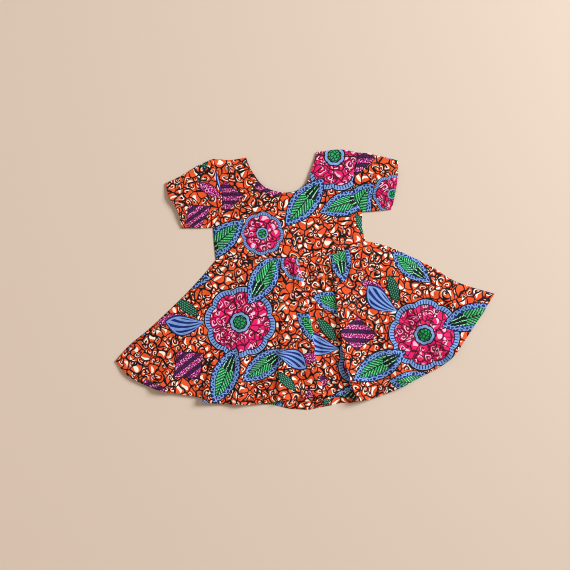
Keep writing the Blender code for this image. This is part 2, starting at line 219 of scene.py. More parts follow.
# Creases of the front: start, direction in degrees from +X, length, half width, height (below zero
# is a trough) and sideways bow, in millimetres
FRONT_CREASES = (
    Crease(-146, 66, 4, 92, 5, -0.9, 3),
    Crease(-140, 78, -3, 70, 6, 0.8, -3),
    Crease(-96, 60, 2, 110, 5, 0.7, 4),
    Crease(-60, 73, -4, 84, 5, -0.8, -3),
    Crease(10, 62, 5, 96, 5, -0.9, 4),
    Crease(34, 77, -2, 86, 6, 0.8, 3),
    Crease(60, 92, 8, 58, 5, -0.7, -2),
    Crease(-143, 104, -16, 74, 6, -1.0, 5),
    Crease(-138, 112, 6, 60, 5, 0.9, -4),
    Crease(-130, 124, 28, 52, 6, -0.7, 4),
    Crease(120, 106, 194, 72, 6, -1.0, -5),
    Crease(116, 118, 172, 56, 5, 0.8, 4),
    Crease(112, 132, 150, 50, 6, -0.7, 3),
    Crease(-118, 222, -62, 66, 6, 0.7, 4),
    Crease(-92, 224, -74, 74, 6, -0.8, -4),
    Crease(92, 222, -112, 78, 6, -0.8, 5),
    Crease(112, 214, -118, 70, 5, 0.7, -4),
    Crease(-60, 150, -8, 90, 7, 0.6, 5),
    Crease(-20, 128, 6, 84, 7, -0.6, -4),
    Crease(-130, 150, 158, 62, 5, -1.0, 4),
    Crease(-128, 170, 170, 70, 6, 0.9, -5),
    Crease(-132, 192, 176, 60, 5, -0.8, 4),
    Crease(-150, 128, 168, 44, 5, 0.7, 3),
    Crease(116, 150, -22, 58, 5, -1.0, -4),
    Crease(118, 168, -8, 60, 6, 0.9, 4),
    Crease(124, 188, -4, 56, 5, -0.8, 3),
    Crease(132, 128, -14, 40, 5, 0.7, -3),
    Crease(-170, 20, -126, 120, 8, 0.9, 8),
    Crease(-190, -30, -118, 110, 9, -1.0, -7),
    Crease(-238, -60, -150, 80, 8, 0.9, 6),
    Crease(-140, 10, -100, 130, 8, -1.0, 8),
    Crease(-110, -60, -96, 100, 9, 0.9, -6),
    Crease(-72, 20, -94, 90, 7, -0.9, 5),
    Crease(-46, -100, -88, 84, 9, 0.8, 5),
    Crease(10, -70, -84, 100, 8, -1.1, 6),
    Crease(22, 10, -82, 80, 7, 0.9, -5),
    Crease(112, 20, -66, 120, 8, -1.1, -8),
    Crease(136, -50, -58, 100, 9, 1.0, 7),
    Crease(158, 28, -48, 110, 8, -0.9, -7),
    Crease(206, -20, -42, 110, 9, 0.9, 6),
    Crease(240, -70, -62, 70, 8, -0.9, -5),
    Crease(-300, -90, -160, 50, 7, -0.7, 4),
    Crease(296, -60, -30, 60, 8, 0.7, 4),
)

# The same for the back, which lies on the table, so that its creases only rise
BACK_CREASES = (
    Crease(-140, 70, 5, 120, 6, 0.5, 4),
    Crease(-40, 64, -4, 130, 6, 0.5, -4),
    Crease(-130, 108, -14, 80, 6, 0.5, 5),
    Crease(112, 104, 192, 80, 6, 0.5, -5),
    Crease(-100, 216, -70, 70, 6, 0.4, 4),
    Crease(96, 214, -110, 74, 6, 0.4, -4),
    Crease(-60, 140, -3, 100, 7, 0.4, 5),
    Crease(-176, 10, -128, 140, 8, 0.5, 8),
    Crease(-120, 0, -104, 150, 9, 0.5, -8),
    Crease(-60, 10, -94, 160, 8, 0.5, 6),
    Crease(20, 0, -84, 150, 9, 0.5, -6),
    Crease(80, 10, -68, 170, 8, 0.5, 8),
    Crease(140, 20, -48, 160, 9, 0.5, -7),
    Crease(-240, -70, -150, 80, 8, 0.4, 5),
    Crease(220, -40, -40, 90, 8, 0.4, 5),
)

# A hem from its folded edge to its raw edge, in millimetres: way in from the edge and way down
# from the cloth's middle
HEM_ROWS = (
    HemRow(0.25, 0.00),
    HemRow(0.07, 0.07),
    HemRow(0.00, 0.25),
    HemRow(0.07, 0.43),
    HemRow(0.25, 0.50),
    HemRow(4.00, 0.50),
    HemRow(8.00, 0.50),
    HemRow(12.0, 0.50),
)

# How each piece is laid on the print: degrees turned anticlockwise, and the print's millimetres
# that lie at the dress's origin
LAYS = {
    "bodice_front": Lay(3, -96, 128),
    "bodice_back": Lay(-2, 260, 40),
    "sleeve_left": Lay(70, 20, 190),
    "sleeve_right": Lay(105, 96, 138),
    "skirt_left": Lay(20, 130, 20),
    "skirt_middle": Lay(2, 190, 330),
    "skirt_right": Lay(-20, 60, 210),
    "skirt_back": Lay(4, 210, 150),
}

# Motifs of the print in one repeat, in its millimetres: middle, degrees turned anticlockwise, size
# and tone, which is 0 for green and 1 for magenta
BLOOMS = (
    Spot(0, 0, 10),
    Spot(150, 52, 30, 0.6),
)
LEAVES = (
    Spot(74, 52, -58),
    Spot(-66, -74, 132),
    Spot(118, -72, 24, 0.85),
    Spot(-52, 112, 66, 0.8),
    Spot(6, -88, 100, 0.9),
)
DROPS = (
    Spot(-92, 38, 64),
    Spot(58, -98, -140, 0.9),
    Spot(22, 142, 14, 0.9),
)
LOZENGES = (
    Spot(-118, -28, 12),
    Spot(96, 128, -8, 0.9),
)
SLIVERS = (
    Spot(-74, 66, 30),
    Spot(-112, 62, 84, 0.9, 1.0),
    Spot(84, -112, -100, 1.0, 1.0),
    Spot(30, -132, 20, 0.9),
    Spot(52, 156, -24, 0.9, 1.0),
)

# Sizes of the motifs and of the ground, in millimetres
BLOOM_RADIUS = 66.0
BLOOM_LOBES = 8
BLOOM_TICKS = 72
LOBE_DEPTH = 0.12
LEAF_LENGTH = 112.0
LEAF_WIDTH = 50.0
DROP_LENGTH = 74.0
DROP_WIDTH = 36.0
DROP_BEND = 9.0
LOZENGE_HALF = (36.0, 32.0)
SLIVER_LENGTH = 56.0
SLIVER_WIDTH = 20.0
SCROLL_SIZE = 5.6
SCROLL_LINE = 0.95
DASH_WIDTH = 3.6
DASH_LENGTH = 4.6
RIB_PITCH = 6.5
RIB_SLOPE = 1.1
FAN_RIBS = 44.0
CURL_PITCH = 5.2
CURL_REACH = 6.4
SWAY_SIZE = 17.0
SWAY = 10.0
THREAD_PAIR = 0.55                      # width of two threads of the weave

# Rings of thread round a stitch: share of its length, share of the thread's width, and height over
# the cloth in thread widths
STITCH_RINGS = (
    Ring(0.06, 0.5, -0.3),
    Ring(0.22, 1.0, 0.1),
    Ring(0.72, 1.0, 0.1),
    Ring(0.88, 0.5, -0.3),
)
STITCH_SIDES = 5
STITCH_FLATNESS = 0.75                  # height of the pressed thread as a share of its width

# How many rows of a panel's grid its stitches lie in from the edge
NECK_STITCH_ROW = 3
HEM_STITCH_ROW = 3
CUFF_STITCH_ROW = 6

# The picture: where the camera looks and its turn in degrees
LOOK_AT = (-0.0279, -0.0051)
CAMERA_TURN = -6
FLOOR_HALF_WIDTH = 4.0

# Light: even light through the window, its glow near the window, and the room. A sun's size is an
# angle in radians and its power is in watts a square metre.
LAMPS = (
    Lamp("window", "SUN", (2.4, 1.0, 1.2), 0.35, 2.9, (0.87, 0.95, 1.0)),
    Lamp("window_glow", "AREA", (2.4, 1.0, 1.3), 1.0, 66.0, (0.87, 0.95, 1.0)),
    Lamp("room", "AREA", (-1.8, -0.5, 1.8), 2.0, 6.0, (1.0, 0.8, 0.62)),
)
ROOM_COLOUR = (1.0, 0.88, 0.76, 1.0)
ROOM_STRENGTH = 0.41


def smooth(value, low=0.0, high=1.0):
    """0 below low, 1 above high and an S curve between."""
    share = min(max((value - low) / (high - low), 0.0), 1.0)
    return share * share * (3 - 2 * share)


def mixed(value, rows):
    """Straight-line reading of rows of (value, reading)."""
    for (low, at_low), (high, at_high) in zip(rows, rows[1:]):
        if value <= high:
            return at_low + (at_high - at_low) * max(value - low, 0.0) / (high - low)
    return rows[-1][1]


class Line:
    """A smooth line on the table through an edge's points, read by its share of length."""

    STEPS = 12

    def __init__(self, edge, shift=(0.0, 0.0)):
        inner = [Vector(p) for p in edge.through]
        knots = [Vector(CORNERS[edge.start]), *inner, Vector(CORNERS[edge.end])]
        knots = [knot * MM + Vector(shift) for knot in knots]
        ends = [2 * knots[0] - knots[1], *knots, 2 * knots[-1] - knots[-2]]
        self.points = []
        for before, start, end, after in zip(ends, ends[1:], ends[2:], ends[3:]):
            for step in range(self.STEPS):
                t = step / self.STEPS
                bend = (end - before) * t
                bend += (2 * before - 5 * start + 4 * end - after) * t ** 2
                bend += (3 * start - before - 3 * end + after) * t ** 3
                self.points.append(start + bend / 2)
        self.points.append(knots[-1])
        self.reach = [0.0]
        for start, end in zip(self.points, self.points[1:]):
            self.reach.append(self.reach[-1] + (end - start).length)

    def __call__(self, share):
        goal = min(max(share, 0.0), 1.0) * self.reach[-1]
        k = min(max(bisect.bisect_left(self.reach, goal), 1), len(self.reach) - 1)
        part = (goal - self.reach[k - 1]) / (self.reach[k] - self.reach[k - 1])
        return self.points[k - 1].lerp(self.points[k], part)

    def heading(self, share):
        """Unit vector along the line."""
        return (self(share + 0.004) - self(share - 0.004)).normalized()

    def distance(self, point):
        """From a point on the table to the line."""
        nearest = math.inf
        for start, end in zip(self.points[::3], self.points[3::3]):
            way = end - start
            share = min(max((point - start).dot(way) / way.length_squared, 0.0), 1.0)
            nearest = min(nearest, (point - start - way * share).length)
        return nearest


def chained(*stretches):
    """One line out of (line, share where it ends) pairs."""
    def at(share):
        start = 0.0
        for line, end in stretches:
            if share <= end or end == stretches[-1][1]:
                return line((share - start) / (end - start))
            start = end
    return at


def patch(near, far, left, right):
    """Place on the table from two shares, between four edges that share their corners."""
    near, far, left, right = (functools.lru_cache(maxsize=None)(edge) for edge in (near, far, left, right))

    @functools.lru_cache(maxsize=None)
    def place(across, along):
        edges = near(across) * (1 - along) + far(across) * along
        edges += left(along) * (1 - across) + right(along) * across
        corners = near(0) * (1 - across) * (1 - along) + near(1) * across * (1 - along)
        corners += far(0) * (1 - across) * along + far(1) * across * along
        return edges - corners
    return place


def off_sides(place, across, along, slope=SIDE_SLOPE):
    """0 at a panel's two side edges, 1 where it is clear of both."""
    point = place(across, along)
    nearest = min((point - place(0.0, along)).length, (point - place(1.0, along)).length)
    return smooth(nearest, 0.0, slope)


def ripple(point, height):
    """Unevenness of washed cotton at a point on the table."""
    spot = Vector((point.x, point.y, 0.0)) / RIPPLE_LENGTH
    return height * (noise.noise(spot) + 0.45 * noise.noise(spot * 2.7 + Vector((5.0, 3.0, 1.0))))


def crease_height(creases, point):
    """Height that creases add at a point on the table."""
    height = 0.0
    for crease in creases:
        heading = Vector((math.cos(math.radians(crease.turn)), math.sin(math.radians(crease.turn))))
        arm = point / MM - Vector((crease.x, crease.y))
        share = arm.dot(heading) / crease.length
        if not 0.0 < share < 1.0:
            continue
        off = heading.x * arm.y - heading.y * arm.x - crease.bow * 4 * share * (1 - share)
        if abs(off) < crease.half_width:
            swell = math.sin(math.pi * share) ** 0.7
            height += crease.height * MM * swell * (1 + math.cos(math.pi * off / crease.half_width)) / 2
    return height


def cloth_settings():
    """Sizes of the cotton that a user can change."""
    return bpy.context.scene.dress_cloth


class Weave:
    """A grid of cloth whose points are known by their column and row."""

    def __init__(self, columns, rows):
        self.bm = bmesh.new()
        bmesh.ops.create_grid(self.bm, x_segments=columns, y_segments=rows, size=0.5)
        self.knots = {}
        for vert in self.bm.verts:
            self.knots[vert] = (round((vert.co.x + 0.5) * columns), round((vert.co.y + 0.5) * rows))

    def shape(self, point_at):
        """Moves each knot to point_at(column, row)."""
        for vert, (column, row) in self.knots.items():
            vert.co = point_at(column, row)

    def print_on(self, spot_at):
        """UVs from spot_at(column, row, the face's middle column), in metres of flat cloth."""
        layer = self.bm.loops.layers.uv.new("Print")
        for face in self.bm.faces:
            middle = sum(self.knots[vert][0] for vert in face.verts) / len(face.verts)
            for loop in face.loops:
                loop[layer].uv = spot_at(*self.knots[loop.vert], middle)


def laid(lay, point):
    """Where a point of the table lies on the print."""
    turn = Matrix.Rotation(math.radians(-lay.turn), 2)
    return turn @ Vector(point[:2]) + Vector((lay.x, lay.y)) * MM


def made(name, bm, material):
    """An object in the scene, out of a bmesh."""
    mesh = bpy.data.meshes.new(name)
    bm.to_mesh(mesh)
    bm.free()
    mesh.shade_smooth()
    mesh.materials.append(material)
    obj = bpy.data.objects.new(name, mesh)
    bpy.context.scene.collection.objects.link(obj)
    return obj


def finish_cloth(name, bm, material):
    """A piece of cloth with its real thickness, out of a bmesh of its middle surface."""
    obj = made(name, bm, material)
    wall = obj.modifiers.new("Cloth", "SOLIDIFY")
    wall.thickness = cloth_settings().thickness
    wall.offset = 0.0
    return obj


def sew_on(obj, node):
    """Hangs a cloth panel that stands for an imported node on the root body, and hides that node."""
    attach(obj, "root")
    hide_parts(node)


def seam_line(weave, row, columns):
    """Points and normals of the cloth along a row of its weave."""
    weave.bm.normal_update()
    verts = {weave.knots[vert]: vert for vert in weave.bm.verts if vert.is_valid}
    return [(verts[column, row].co.copy(), verts[column, row].normal.copy()) for column in columns]


def stitched(name, line):
    """A row of stitches as one mesh, along a line of (point, normal) pairs of the cloth."""
    cloth = cloth_settings()
    reach = [0.0]
    for (start, _), (end, _) in zip(line, line[1:]):
        reach.append(reach[-1] + (end - start).length)

    def at(goal):
        k = min(max(bisect.bisect_left(reach, goal), 1), len(reach) - 1)
        part = (goal - reach[k - 1]) / (reach[k] - reach[k - 1])
        before, after = line[k - 1], line[k]
        return before[0].lerp(after[0], part), before[1].lerp(after[1], part).normalized()

    bm = bmesh.new()
    layer = bm.loops.layers.uv.new("Print")
    for k in range(int(reach[-1] / cloth.stitch)):
        rings = []
        for share, size, sink in STITCH_RINGS:
            point, up = at((k + share) * cloth.stitch)
            way = (at((k + 0.9) * cloth.stitch)[0] - at((k + 0.1) * cloth.stitch)[0]).normalized()
            side = up.cross(way)
            middle = point + up * (cloth.thickness / 2 + cloth.thread * sink)
            ring = []
            for corner in range(STITCH_SIDES):
                angle = math.tau * corner / STITCH_SIDES
                arm = side * math.cos(angle) + up * math.sin(angle) * STITCH_FLATNESS
                ring.append(bm.verts.new(middle + arm * cloth.thread / 2 * size))
            rings.append(ring)
        for ring, after in zip(rings, rings[1:]):
            for corner in range(STITCH_SIDES):
                beside = (corner + 1) % STITCH_SIDES
                face = bm.faces.new((ring[corner], after[corner], after[beside], ring[beside]))
                for loop, (along, turn) in zip(face.loops, ((0, 0), (1, 0), (1, 1), (0, 1))):
                    loop[layer].uv = (along * cloth.stitch, (corner + turn) * cloth.thread / 2)
        bm.faces.new(rings[0])
        bm.faces.new(reversed(rings[-1]))
    bmesh.ops.recalc_face_normals(bm, faces=bm.faces)
    obj = made(name, bm, thread_material())
    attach(obj, "root")
    return obj


def up_facing(bm):
    """Turns the faces of a panel to point up."""
    bm.normal_update()
    if sum(face.normal.z for face in bm.faces) < 0:
        bmesh.ops.reverse_faces(bm, faces=bm.faces)


def hem_rows(rows):
    """Rows of a hemmed panel: (share of the way to the edge, or None on the hem, its HemRow)."""
    return [(row / rows, None) for row in range(rows)] + [(None, hem) for hem in HEM_ROWS]


def bodice_place(neck_drop=0.0):
    """Table place of a bodice panel: across from left to right, along from the waist up."""
    top = chained(
        (Line(EDGES["shoulder_left"]), SHOULDER_SHARE),
        (Line(EDGES["neck"]), 1 - SHOULDER_SHARE),
        (Line(EDGES["shoulder_right"]), 1.0))
    left = chained((Line(EDGES["side_left"]), SIDE_SHARE), (Line(EDGES["armhole_left"]), 1.0))
    right = chained((Line(EDGES["side_right"]), SIDE_SHARE), (Line(EDGES["armhole_right"]), 1.0))
    place = patch(Line(EDGES["waist"]), top, left, right)

    def lowered(across, along):
        point = place(across, along)
        scoop = smooth(across, SHOULDER_SHARE, 0.5) * smooth(1 - across, SHOULDER_SHARE, 0.5)
        return point - Vector((0.0, neck_drop * scoop * smooth(along, 0.6, 1.0)))
    return lowered


def bodice_loft(place, across, along):
    """How far the bodice front stands off the back."""
    in_neck = smooth(across, SHOULDER_SHARE * 0.8, 0.4) * smooth(1 - across, SHOULDER_SHARE * 0.8, 0.4)
    at_top = smooth(along, 0.65, 1.0)
    full = WAIST_LOFT + (BODICE_LOFT - WAIST_LOFT) * smooth(along, 0.0, 0.4)
    return full * off_sides(place, across, along) * (1 - at_top * (1 - 0.8 * in_neck))


def groove(distance):
    """How far the cloth dips towards a seam at this distance."""
    return GROOVE_DEPTH * (1 - smooth(distance, 0.0, GROOVE_WIDTH))


def bodice_surface(place, is_front):
    """Function for a point in the middle of a bodice panel's cloth."""
    cloth = cloth_settings()
    sides = [Line(EDGES[name]) for name in ("side_left", "side_right", "shoulder_left", "shoulder_right")]
    open_seams = [Line(EDGES[name]) for name in ("waist", "armhole_left", "armhole_right")]
    neck_corners = [Vector(CORNERS[name]) * MM for name in ("neck_left", "neck_right")]

    def at(across, along):
        point = place(across, along)
        dip = groove(min(seam.distance(point) for seam in open_seams))
        if not is_front:
            level = cloth.thickness / 2 + crease_height(BACK_CREASES, point)
            return Vector((*point, level))
        level = FRONT_LEVEL + WALL - cloth.thickness / 2 + bodice_loft(place, across, along)
        level += ripple(point, cloth.ripple) + crease_height(FRONT_CREASES, point) - dip
        closing = 1 - smooth(min(seam.distance(point) for seam in sides), 0.0, SEAM_CLOSE)
        closing *= smooth(min((point - corner).length for corner in neck_corners), *NECK_CORNER)
        level += (CLOSED_LEVEL - level) * closing
        return Vector((*point, level))
    return at


def bodice(node, is_front, material):
    """A bodice panel with its neck hemmed."""
    place = bodice_place(0.0 if is_front else BACK_NECK_DROP)
    surface = bodice_surface(place, is_front)
    rows = hem_rows(BODICE_ROWS)
    under = 1 if is_front else -1
    weave = Weave(BODICE_COLUMNS, len(rows) - 1)

    def point_at(column, row):
        across = column / BODICE_COLUMNS
        along, hem = rows[row]
        if hem is None:
            return surface(across, along)
        length = (place(across, 1.0) - place(across, 0.0)).length
        in_neck = SHOULDER_SHARE <= across <= 1 - SHOULDER_SHARE
        inward = hem.inward if in_neck else 0.0
        point = surface(across, 1 - inward * MM / length)
        point.z -= under * hem.drop * MM
        return point

    weave.shape(point_at)
    first, last = SHOULDER_SHARE * BODICE_COLUMNS, (1 - SHOULDER_SHARE) * BODICE_COLUMNS
    lay = LAYS[node]

    def spot_at(column, row, _):
        along, hem = rows[row]
        point = place(column / BODICE_COLUMNS, 1.0 if along is None else along)
        return laid(lay, point + Vector((0.0, hem.inward * MM if hem else 0.0)))

    weave.print_on(spot_at)
    spare = []
    for face in weave.bm.faces:
        column = sum(weave.knots[vert][0] for vert in face.verts) / 4
        row = max(weave.knots[vert][1] for vert in face.verts)
        if row > BODICE_ROWS and not first < column < last:
            spare.append(face)
    bmesh.ops.delete(weave.bm, geom=spare, context="FACES")
    up_facing(weave.bm)
    neck = range(math.ceil(first), math.floor(last) + 1)
    thread = stitched(f"{node}_stitches", seam_line(weave, BODICE_ROWS - NECK_STITCH_ROW, neck))
    obj = finish_cloth(f"{node}_cloth", weave.bm, material)
    sew_on(obj, node)


def skirt_place(waist_shares, bends=(), drops=()):
    """Table place of a skirt panel: across from left to right, along from the waist to the hem."""
    waist = Line(EDGES["waist"], shift=(0.0, -SEAM_GAP))
    hem = Line(EDGES["hem"])
    left = Line(EDGES["skirt_left"])
    right = Line(EDGES["skirt_right"])

    def waist_at(across):
        return waist(mixed(across, waist_shares))

    def from_waist(line, corner):
        """A side edge that starts at the shifted waist."""
        return lambda along: line(along) + (corner - line(0)) * (1 - along)

    def hem_at(across):
        point = hem(across)
        if not drops:
            return point
        return point + (point - SKIRT_CENTRE).normalized() * mixed(across, drops) * MM

    def hem_side(line, corner):
        return lambda along: line(along) + (corner - line(1)) * along

    sides = []
    for line, across in ((left, 0.0), (right, 1.0)):
        sides.append(hem_side(from_waist(line, waist_at(across)), hem_at(across)))
    flat = patch(waist_at, hem_at, *sides)

    @functools.lru_cache(maxsize=None)
    def place(across, along):
        swing = mixed(across, bends) * MM * math.sin(math.pi * along) if bends else 0.0
        return flat(across, along) + Vector((swing, 0.0))
    return place


def fold_rise(fold, offset, along):
    """Height of one fold at a distance from its crest."""
    if along <= fold.start:
        height = fold.rise_top * smooth(along, -0.05, fold.start) if fold.start > 0 else fold.rise_top
    else:
        height = fold.rise_top + (fold.rise_hem - fold.rise_top) * smooth(along, fold.start, 1.0)
    on_crease = offset * fold.crease > 0
    steep = fold.steep_top + (fold.steep_hem - fold.steep_top) * along
    width = (steep if on_crease else fold.gentle) * MM
    off = min(abs(offset) / width, 1.0)
    return height * MM * (1 + math.cos(math.pi * off)) / 2


def gather_rise(waist_share, along, waist_length):
    """Height of the gathers that hang from the waist seam."""
    rise = 0.0
    for gather in WAIST_GATHERS:
        off = abs(waist_share - gather.waist_share) * waist_length / (gather.half_width * MM)
        if off < 1:
            swell = smooth(along, -0.02, GATHER_SWELL)
            fade = 1 - smooth(along, GATHER_SWELL, gather.reach)
            rise += gather.rise * MM * swell * fade * (1 + math.cos(math.pi * off)) / 2
    return rise


def skirt_front_surface():
    """Table place and function for a point in the middle of the skirt front's cloth."""
    cloth = cloth_settings()
    shares = [(station.hem_share, station.waist_share) for station in SKIRT_STATIONS]
    place = skirt_place(shares, [(station.hem_share, station.bend) for station in SKIRT_STATIONS])
    waist_length = Line(EDGES["waist"]).reach[-1]
    step = 0.004

    def at(across, along):
        point = place(across, along)
        sideways = (place(across + step, along) - place(across - step, along)).normalized()
        rise = 0.0
        lean = 0.0
        for fold in SKIRT_FOLDS:
            crest = place(fold.hem_share, along)
            offset = math.copysign((point - crest).length, across - fold.hem_share)
            height = fold_rise(fold, offset, along)
            rise += height
            lean += height * fold.lean * fold.crease
        from_waist = (point - place(across, 0.0)).length
        pinch = PINCHED + (1 - PINCHED) * smooth(from_waist, 0.0, WAIST_PINCH)
        at_sides = off_sides(place, across, along)
        loft = (WAIST_LOFT + (SKIRT_LOFT - WAIST_LOFT) * smooth(along, 0.0, 0.5)) * at_sides
        folds = rise * at_sides + gather_rise(mixed(across, shares), along, waist_length)
        leaned = point + sideways * lean * at_sides * smooth(along, 0.0, 0.12)
        level = FRONT_LEVEL + WALL - cloth.thickness / 2 + loft + folds * pinch
        level += ripple(point, cloth.ripple) + crease_height(FRONT_CREASES, point) - groove(from_waist)
        nearest = min((point - place(0.0, along)).length, (point - place(1.0, along)).length)
        closing = (1 - smooth(nearest, 0.0, SEAM_CLOSE)) * smooth(1 - along, 0.03, 0.09)
        level += (CLOSED_LEVEL - level) * closing
        return Vector((*leaned, level))
    return place, at


def skirt_shares():
    """The share of the hem at each column of the skirt front."""
    shares = []
    for station, after in zip(SKIRT_STATIONS, SKIRT_STATIONS[1:]):
        count = station.columns * SKIRT_DENSITY
        for step in range(count):
            shares.append(station.hem_share + (after.hem_share - station.hem_share) * step / count)
    return shares + [1.0]


def smoothed_out(points, rows, first, last):
    """Where the columns from first to last would lie with their folds pulled out sideways."""
    middle = (first + last) // 2
    spots = {}
    for row, (_, hem) in enumerate(rows):
        for ends in (range(middle, last + 1), range(middle, first - 1, -1)):
            spare = 0.0
            for column, before in zip(ends, [middle, *ends]):
                step = points[column, row] - points[before, row]
                spare += step.length - step.xy.length
                sideways = step.xy.normalized() if step.xy.length > 0 else Vector((0.0, 0.0))
                spot = points[column, row].xy
                if hem and hem.inward:
                    up = (points[column, 0].xy - points[column, SKIRT_FRONT_ROWS - 1].xy).normalized()
                    spot = points[column, SKIRT_FRONT_ROWS].xy - up * hem.inward * MM
                spots[column, row] = spot + sideways * spare
    return spots


def skirt_front(material):
    """The skirt front, whose print breaks where its two pleats hide some of the cloth."""
    shares = skirt_shares()
    place, surface = skirt_front_surface()
    rows = hem_rows(SKIRT_FRONT_ROWS)
    columns = len(shares) - 1
    weave = Weave(columns, len(rows) - 1)
    points = {}

    def point_at(column, row):
        across = shares[column]
        along, hem = rows[row]
        if hem is not None:
            along = 1 - hem.inward * MM / (place(across, 1.0) - place(across, 0.0)).length
        point = surface(across, along)
        if hem is not None:
            point.z -= hem.drop * MM
        points[column, row] = point
        return point

    weave.shape(point_at)
    feet = [station.hem_share for station in SKIRT_STATIONS if station.name.endswith("pleat foot")]
    breaks = [0, *(min(range(columns), key=lambda c: abs(shares[c] - foot)) for foot in feet), columns]
    regions = list(zip(("skirt_left", "skirt_middle", "skirt_right"), breaks, breaks[1:]))
    spots = {}
    for name, first, last in regions:
        for (column, row), spot in smoothed_out(points, rows, first, last).items():
            spots[name, column, row] = laid(LAYS[name], spot)

    def spot_at(column, row, middle):
        for name, first, last in regions:
            if middle < last:
                return spots[name, column, row]
        return spots[regions[-1][0], column, row]

    weave.print_on(spot_at)
    up_facing(weave.bm)
    hem = seam_line(weave, SKIRT_FRONT_ROWS - HEM_STITCH_ROW, range(columns + 1))
    thread = stitched("skirt_front_stitches", hem)
    obj = finish_cloth("skirt_front_cloth", weave.bm, material)
    sew_on(obj, "skirt_front")


def skirt_back(material):
    """The skirt back, which lies on the table and shows below the front's hem."""
    cloth = cloth_settings()
    place = skirt_place(((0.0, 0.0), (1.0, 1.0)), drops=BACK_HEM_DROPS)
    rows = hem_rows(SKIRT_BACK_ROWS)
    weave = Weave(SKIRT_BACK_COLUMNS, len(rows) - 1)

    def spot(column, row):
        across = column / SKIRT_BACK_COLUMNS
        along, hem = rows[row]
        if hem is not None:
            along = 1 - hem.inward * MM / (place(across, 1.0) - place(across, 0.0)).length
        return place(across, along)

    def point_at(column, row):
        point = spot(column, row)
        hem = rows[row][1]
        level = cloth.thickness / 2 + crease_height(BACK_CREASES, point)
        return Vector((*point, level + (hem.drop * MM if hem else 0.0)))

    weave.shape(point_at)

    def spot_at(column, row, _):
        hem = rows[row][1]
        turned = 2 * hem.inward * MM if hem else 0.0
        return laid(LAYS["skirt_back"], spot(column, row) - Vector((0.0, turned)))

    weave.print_on(spot_at)
    up_facing(weave.bm)
    hem = seam_line(weave, SKIRT_BACK_ROWS - HEM_STITCH_ROW, range(SKIRT_BACK_COLUMNS + 1))
    thread = stitched("skirt_back_stitches", hem)
    obj = finish_cloth("skirt_back_cloth", weave.bm, material)
    sew_on(obj, "skirt_back")


def sleeve_section():
    """Round a flattened tube: (share across, rounding across, height in radii from its middle, is front)."""
    section = [(k / SLEEVE_STEPS, 0.0, 1.0, 1) for k in range(SLEEVE_STEPS + 1)]
    for k in range(1, FOLD_STEPS):
        angle = math.pi * k / FOLD_STEPS
        section.append((1.0, math.sin(angle), math.cos(angle), 0))
    section += [(1 - k / SLEEVE_STEPS, 0.0, -1.0, 0) for k in range(SLEEVE_STEPS + 1)]
    for k in range(1, FOLD_STEPS):
        angle = math.pi * k / FOLD_STEPS
        section.append((0.0, -math.sin(angle), -math.cos(angle), 0))
    return section + section[:1]


def sleeve(side, material):
    """A short sleeve, sewn to a tube and lying flat, with its cuff hemmed to the inside."""
    cloth = cloth_settings()
    out = -1 if side == "left" else 1
    shift = (out * SEAM_GAP, 0.0)
    armhole = Line(EDGES[f"armhole_{side}"], shift)
    top = Line(EDGES[f"sleeve_top_{side}"])
    under = Line(EDGES[f"sleeve_under_{side}"])
    cuff = Line(EDGES[f"cuff_{side}"])

    def shifted(line):
        return lambda along: line(along) + Vector(shift) * (1 - along)

    place = patch(lambda share: armhole(1 - share), cuff, shifted(top), shifted(under))
    section = sleeve_section()
    rows = hem_rows(SLEEVE_ROWS)
    weave = Weave(len(section) - 1, len(rows) - 1)
    points = {}

    def point_at(column, row):
        across, rounding, level, is_front = section[column]
        along, hem = rows[row]
        radius = FOLD_RADIUS - cloth.thickness / 2
        if hem is not None:
            length = (place(across, 1.0) - place(across, 0.0)).length
            along = 1 - hem.inward * MM / length
            radius -= hem.drop * MM
        width = (place(0, along) - place(1, along)).length
        inset = FOLD_RADIUS / width
        share = inset + (1 - 2 * inset) * across + rounding * radius / width
        point = place(share, along)
        from_armhole = (point - place(share, 0.0)).length
        height = FOLD_RADIUS + level * radius
        if is_front:
            loft = SLEEVE_LOFT * off_sides(place, share, along, SLEEVE_SLOPE) * smooth(along, 0.0, 0.8)
            free = smooth(min(across, 1 - across) * width, 0.0, SLEEVE_FOLD)
            height += loft + free * (ripple(point, cloth.ripple) + crease_height(FRONT_CREASES, point))
            height -= groove(from_armhole)
            height -= ARMHOLE_DIP * (1 - smooth(from_armhole, 0.0, ARMHOLE_DIP_WIDTH))
        points[column, row] = Vector((*point, height))
        return points[column, row]

    weave.shape(point_at)
    lay = LAYS[f"sleeve_{side}"]
    arcs = [0.0]
    middle_row = SLEEVE_ROWS // 2
    for column in range(1, len(section)):
        step = points[column, middle_row] - points[column - 1, middle_row]
        arcs.append(arcs[-1] + step.length)

    def spot_at(column, row, _):
        along, hem = rows[row]
        length = (place(0.5, 1.0) - place(0.5, 0.0)).length
        reach = length * along if hem is None else length + hem.inward * MM
        return laid(lay, (arcs[column], reach))

    weave.print_on(spot_at)
    bmesh.ops.remove_doubles(weave.bm, verts=weave.bm.verts, dist=0.01 * MM)
    bmesh.ops.recalc_face_normals(weave.bm, faces=weave.bm.faces)
    cuff_line = seam_line(weave, SLEEVE_ROWS - CUFF_STITCH_ROW, range(1, SLEEVE_STEPS))
    thread = stitched(f"sleeve_{side}_stitches", cuff_line)
    obj = finish_cloth(f"sleeve_{side}_cloth", weave.bm, material)
    sew_on(obj, f"sleeve_{side}")


